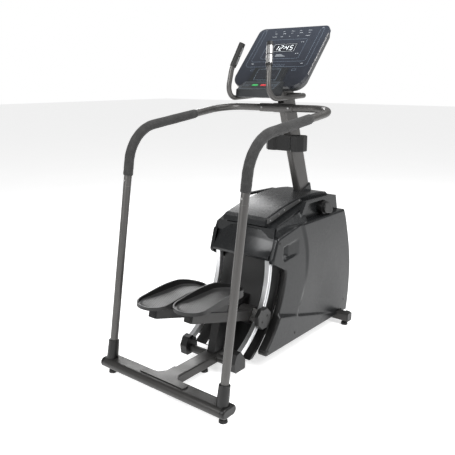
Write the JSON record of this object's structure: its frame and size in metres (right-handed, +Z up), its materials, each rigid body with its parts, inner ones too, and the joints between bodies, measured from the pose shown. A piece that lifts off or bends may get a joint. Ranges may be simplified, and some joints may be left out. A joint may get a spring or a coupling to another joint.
{
  "type": "stair climber",
  "caption": "Stepper with two dependent pedals on curved rails, wrap-round handrail, mast console, hand-pulse bar and shrouded belt drive.",
  "frame": {"origin": "on the floor, under the middle of the length and width", "axes": "+Z up, +Y forward towards the console, +X to the user's right"},
  "size_m": [0.79, 1.4359, 1.6993],
  "materials": {
    "frame_paint": "satin metallic grey",
    "base_paint": "satin dark grey",
    "black_plastic": "matt",
    "rubber": "matt",
    "shroud_plastic": "satin",
    "trim_plastic": "satin",
    "foam": "matt foam",
    "rail_aluminium": "brushed",
    "pedal_plastic": "textured",
    "arm_paint": "satin",
    "steel": "zinc plated",
    "cast_iron": "turned",
    "console_plastic": "satin",
    "display_glass": "smoked",
    "key_green": "satin",
    "key_red": "satin",
    "grip_plastic": "satin"
  },
  "bodies": {
    "frame": {"centre_column": "black_plastic", "console_back": "console_plastic", "console_bracket": "black_plastic", "console_face": "console_plastic", "crossbar_saddle": "base_paint", "cup_holder": "black_plastic", "display_window": "display_glass", "drive_belt": "rubber", "frame_end_caps": "black_plastic", "frame_plates": "steel", "frame_screws": "steel", "front_cover": "shroud_plastic", "front_stabiliser": "base_paint", "handrail": "frame_paint", "handrail_clamp": "frame_paint", "hood_trims": "trim_plastic", "keypad_housing": "console_plastic", "left_foam_grip": "foam", "left_side_shell": "shroud_plastic", "left_strap": "rubber", "level_tracks": "steel", "main_beam": "base_paint", "mast": "frame_paint", "pulse_grips": "grip_plastic", "pulse_handlebar": "frame_paint", "pulse_plates": "steel", "rail_brackets": "black_plastic", "rails": "rail_aluminium", "rear_casing": "black_plastic", "rear_crossbar": "base_paint", "rear_visor": "shroud_plastic", "right_foam_grip": "foam", "right_side_shell": "shroud_plastic", "right_strap": "rubber", "shaft_end_covers": "black_plastic", "stop_bumpers": "rubber", "top_hood": "shroud_plastic", "upright_boots": "black_plastic", "uprights": "frame_paint", "wheel_brackets": "steel"},
    "left_carriage": {"left_carriage": "steel", "left_carriage_cover": "black_plastic"},
    "right_carriage": {"right_carriage": "steel", "right_carriage_cover": "black_plastic"},
    "left_pedal": {"left_pedal_arm": "arm_paint", "left_pedal": "pedal_plastic"},
    "right_pedal": {"right_pedal_arm": "arm_paint", "right_pedal": "pedal_plastic"},
    "drive_shaft": {"drive_shaft": "steel"},
    "drive_pulley": {"drive_pulley": "cast_iron"},
    "flywheel": {"flywheel": "cast_iron"},
    "left_wheel": {"left_transport_wheel": "rubber"},
    "right_wheel": {"right_transport_wheel": "rubber"},
    "start_key": {"start_key": "key_green"},
    "stop_key": {"stop_key": "key_red"},
    "left_rear_foot": {"left_rear_foot": "rubber"},
    "right_rear_foot": {"right_rear_foot": "rubber"},
    "left_front_foot": {"left_front_foot": "rubber"},
    "right_front_foot": {"right_front_foot": "rubber"},
    "centre_foot": {"centre_foot": "rubber"}
  },
  "joints": [
    {"name": "left_step", "type": "hinge", "parent": "frame", "child": "left_carriage", "pos_m": [-0.16, -0.517, 0.516], "axis": [1, 0, 0], "range_deg": [-15, 18.8], "deforming": ["left_strap"]},
    {"name": "right_step", "type": "hinge", "parent": "frame", "child": "right_carriage", "pos_m": [0.16, -0.517, 0.516], "axis": [1, 0, 0], "range_deg": [-18.8, 15], "deforming": ["right_strap"]},
    {"name": "left_pedal_level", "type": "hinge", "parent": "left_carriage", "child": "left_pedal", "pos_m": [-0.105, -0.156, 0.2309], "axis": [1, 0, 0], "range_deg": [-19, 15.2]},
    {"name": "right_pedal_level", "type": "hinge", "parent": "right_carriage", "child": "right_pedal", "pos_m": [0.105, -0.1379, 0.25545], "axis": [1, 0, 0], "range_deg": [-15.2, 19]},
    {"name": "drive_shaft_turn", "type": "hinge", "parent": "frame", "child": "drive_shaft", "pos_m": [0, 0.408, 0.744], "axis": [1, 0, 0], "range_deg": [-280, 280]},
    {"name": "drive_pulley_spin", "type": "hinge", "parent": "frame", "child": "drive_pulley", "pos_m": [0, 0.408, 0.744], "axis": [1, 0, 0], "continuous": true},
    {"name": "flywheel_spin", "type": "hinge", "parent": "frame", "child": "flywheel", "pos_m": [0, 0.4, 0.33], "axis": [1, 0, 0], "continuous": true},
    {"name": "left_wheel_spin", "type": "hinge", "parent": "frame", "child": "left_wheel", "pos_m": [-0.262, 0.653, 0.033], "axis": [1, 0, 0], "continuous": true},
    {"name": "right_wheel_spin", "type": "hinge", "parent": "frame", "child": "right_wheel", "pos_m": [0.262, 0.653, 0.033], "axis": [1, 0, 0], "continuous": true},
    {"name": "start_key_press", "type": "slide", "parent": "frame", "child": "start_key", "axis": [0, 0.4657, -0.8849], "range_m": [0, 0.0008], "stiffness_N_per_m": 900},
    {"name": "stop_key_press", "type": "slide", "parent": "frame", "child": "stop_key", "axis": [0, 0.4657, -0.8849], "range_m": [0, 0.0008], "stiffness_N_per_m": 900},
    {"name": "left_rear_foot_adjust", "type": "slide", "parent": "frame", "child": "left_rear_foot", "axis": [0, 0, -1], "range_m": [0, 0.012]},
    {"name": "right_rear_foot_adjust", "type": "slide", "parent": "frame", "child": "right_rear_foot", "axis": [0, 0, -1], "range_m": [0, 0.012]},
    {"name": "left_front_foot_adjust", "type": "slide", "parent": "frame", "child": "left_front_foot", "axis": [0, 0, -1], "range_m": [0, 0.012]},
    {"name": "right_front_foot_adjust", "type": "slide", "parent": "frame", "child": "right_front_foot", "axis": [0, 0, -1], "range_m": [0, 0.012]},
    {"name": "centre_foot_adjust", "type": "slide", "parent": "frame", "child": "centre_foot", "axis": [0, 0, -1], "range_m": [0, 0.012]}
  ],
  "couplings": [
    {"joint": "right_step", "follows": "left_step", "ratio": -1},
    {"joint": "left_pedal_level", "follows": "left_step", "ratio": -1},
    {"joint": "right_pedal_level", "follows": "left_step", "ratio": 1},
    {"joint": "drive_shaft_turn", "follows": "left_step", "ratio": 14.47},
    {"joint": "flywheel_spin", "follows": "drive_pulley_spin", "ratio": 1.9091}
  ]
}
